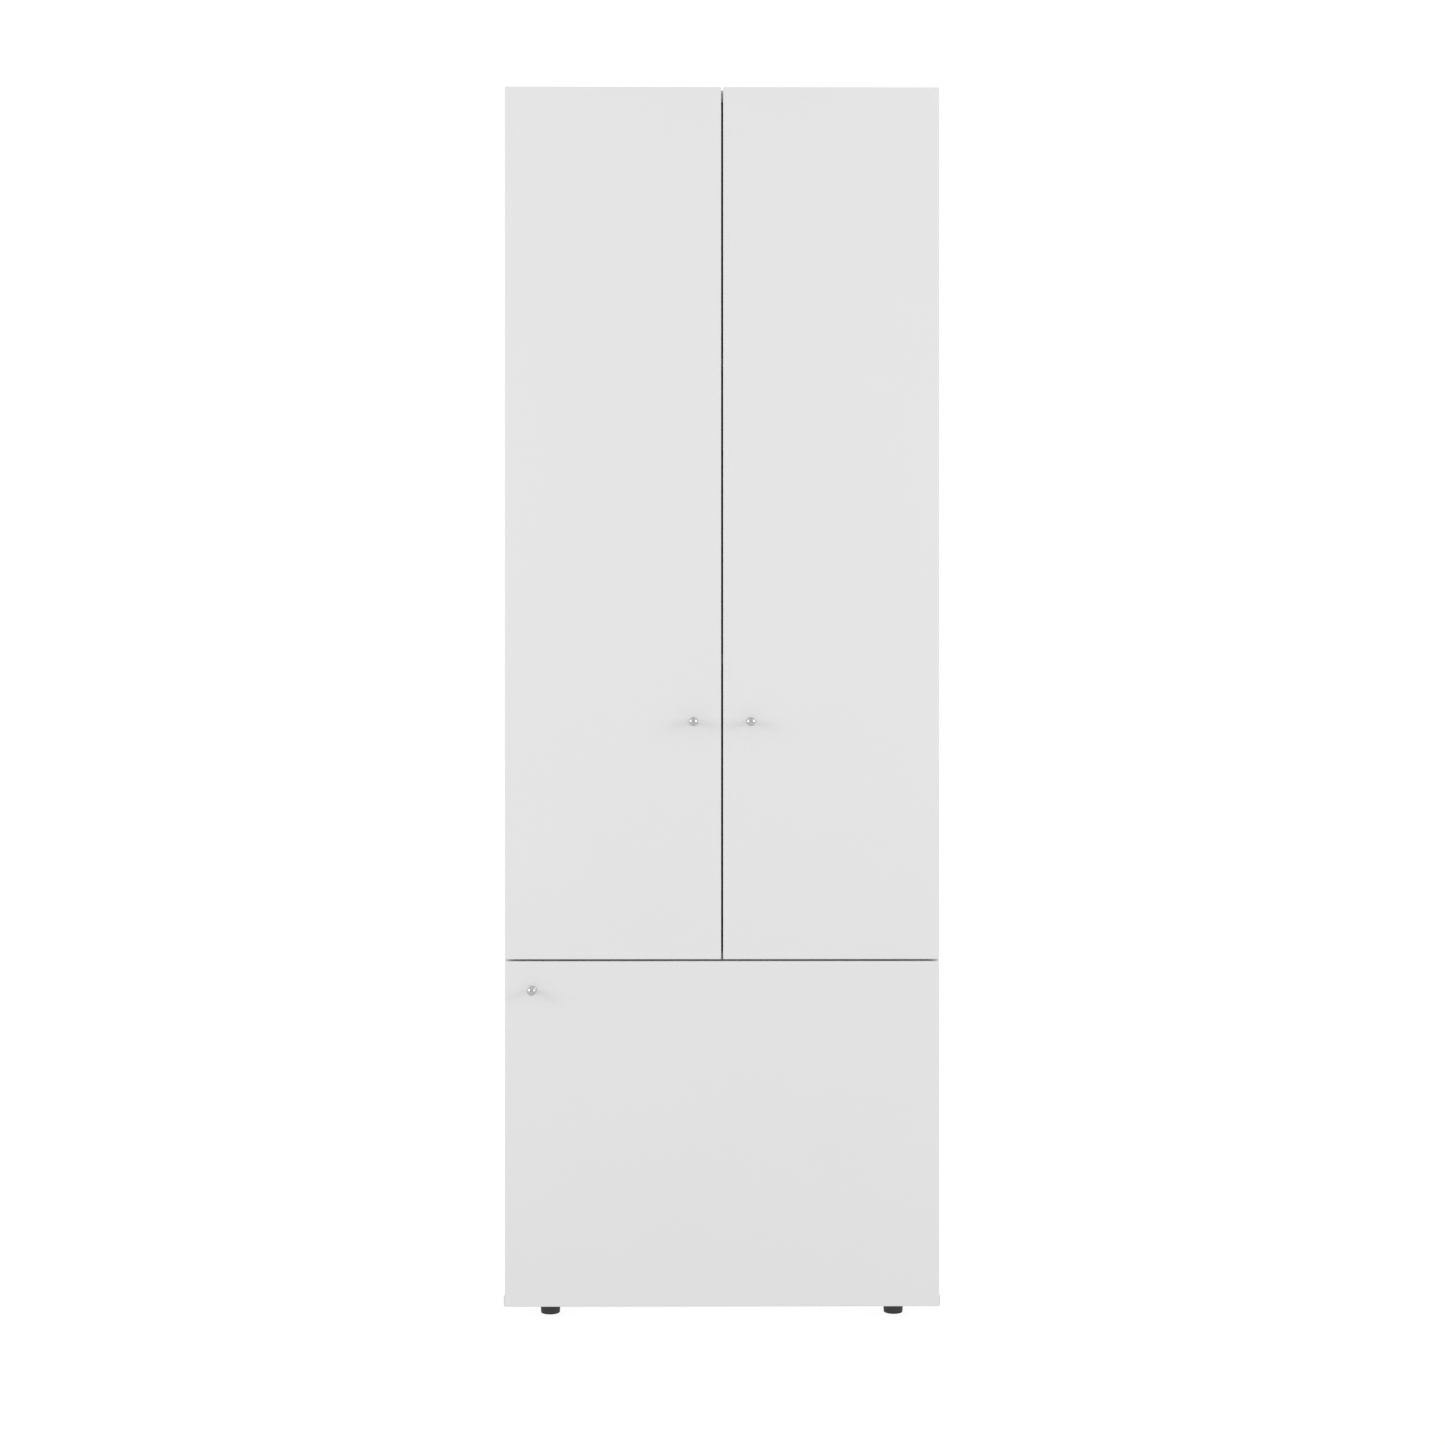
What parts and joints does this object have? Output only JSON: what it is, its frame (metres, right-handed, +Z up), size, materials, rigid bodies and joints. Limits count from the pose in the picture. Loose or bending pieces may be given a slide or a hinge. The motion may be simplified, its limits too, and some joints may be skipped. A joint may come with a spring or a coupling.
{
  "type": "wardrobe with doors",
  "caption": "Tall narrow storage wardrobe: white overlay doors, a pair above one wide lower door, small chrome knobs, adjustable shelves inside, short black feet.",
  "frame": {"origin": "on the floor, in the middle of the object's width and of its whole depth with the knobs", "axes": "+Z up, +Y from the doors to the back, +X to the right as one faces the doors"},
  "size_m": [0.707, 0.424, 1.991],
  "materials": {
    "white_board": "matt white melamine-faced particle board with matching edge band",
    "white_door": "smooth satin white faced board with softly rounded edge band",
    "white_hardboard": "thin white painted hardboard, matt",
    "black_plastic": "moulded black plastic, fine grain",
    "knob_chrome": "polished chrome plate",
    "hinge_nickel": "nickel-plated pressed steel, satin",
    "hinge_pin_steel": "bright drawn steel",
    "shelf_pin_steel": "zinc-plated steel"
  },
  "bodies": {
    "carcass": {"side_panel_left": "white_board", "side_panel_right": "white_board", "top_panel": "white_board", "divider_panel": "white_board", "base_plate": "white_board", "back_panel_upper": "white_hardboard", "back_panel_lower": "white_hardboard", "shelf_lower": "white_board", "shelf_pin_lower_front_left": "shelf_pin_steel", "shelf_pin_lower_front_right": "shelf_pin_steel", "shelf_pin_lower_rear_left": "shelf_pin_steel", "shelf_pin_lower_rear_right": "shelf_pin_steel", "shelf_upper": "white_board", "shelf_pin_upper_front_left": "shelf_pin_steel", "shelf_pin_upper_front_right": "shelf_pin_steel", "shelf_pin_upper_rear_left": "shelf_pin_steel", "shelf_pin_upper_rear_right": "shelf_pin_steel", "foot_front_left": "black_plastic", "foot_front_right": "black_plastic", "foot_rear_left": "black_plastic", "foot_rear_right": "black_plastic", "hinge_upper_left_low_arm": "hinge_nickel", "hinge_upper_left_low_plate": "hinge_nickel", "hinge_upper_left_mid_arm": "hinge_nickel", "hinge_upper_left_mid_plate": "hinge_nickel", "hinge_upper_left_high_arm": "hinge_nickel", "hinge_upper_left_high_plate": "hinge_nickel", "hinge_upper_right_low_arm": "hinge_nickel", "hinge_upper_right_low_plate": "hinge_nickel", "hinge_upper_right_mid_arm": "hinge_nickel", "hinge_upper_right_mid_plate": "hinge_nickel", "hinge_upper_right_high_arm": "hinge_nickel", "hinge_upper_right_high_plate": "hinge_nickel", "hinge_lower_low_arm": "hinge_nickel", "hinge_lower_low_plate": "hinge_nickel", "hinge_lower_high_arm": "hinge_nickel", "hinge_lower_high_plate": "hinge_nickel"},
    "door_upper_left": {"door_upper_left": "white_door", "knob_upper_left": "knob_chrome", "hinge_upper_left_low_cup": "hinge_nickel", "hinge_upper_left_low_pin": "hinge_pin_steel", "hinge_upper_left_mid_cup": "hinge_nickel", "hinge_upper_left_mid_pin": "hinge_pin_steel", "hinge_upper_left_high_cup": "hinge_nickel", "hinge_upper_left_high_pin": "hinge_pin_steel"},
    "door_upper_right": {"door_upper_right": "white_door", "knob_upper_right": "knob_chrome", "hinge_upper_right_low_cup": "hinge_nickel", "hinge_upper_right_low_pin": "hinge_pin_steel", "hinge_upper_right_mid_cup": "hinge_nickel", "hinge_upper_right_mid_pin": "hinge_pin_steel", "hinge_upper_right_high_cup": "hinge_nickel", "hinge_upper_right_high_pin": "hinge_pin_steel"},
    "door_lower": {"door_lower": "white_door", "knob_lower": "knob_chrome", "hinge_lower_low_cup": "hinge_nickel", "hinge_lower_low_pin": "hinge_pin_steel", "hinge_lower_high_cup": "hinge_nickel", "hinge_lower_high_pin": "hinge_pin_steel"}
  },
  "joints": [
    {"name": "upper_left_door_hinge", "type": "hinge", "parent": "carcass", "child": "door_upper_left", "pos_m": [-0.342, -0.1796, 1.28825], "axis": [0, 0, -1], "range_deg": [0, 105]},
    {"name": "upper_right_door_hinge", "type": "hinge", "parent": "carcass", "child": "door_upper_right", "pos_m": [0.342, -0.1796, 1.28825], "axis": [0, 0, 1], "range_deg": [0, 105]},
    {"name": "lower_door_hinge", "type": "hinge", "parent": "carcass", "child": "door_lower", "pos_m": [0.342, -0.1796, 0.3055], "axis": [0, 0, 1], "range_deg": [0, 105]}
  ]
}
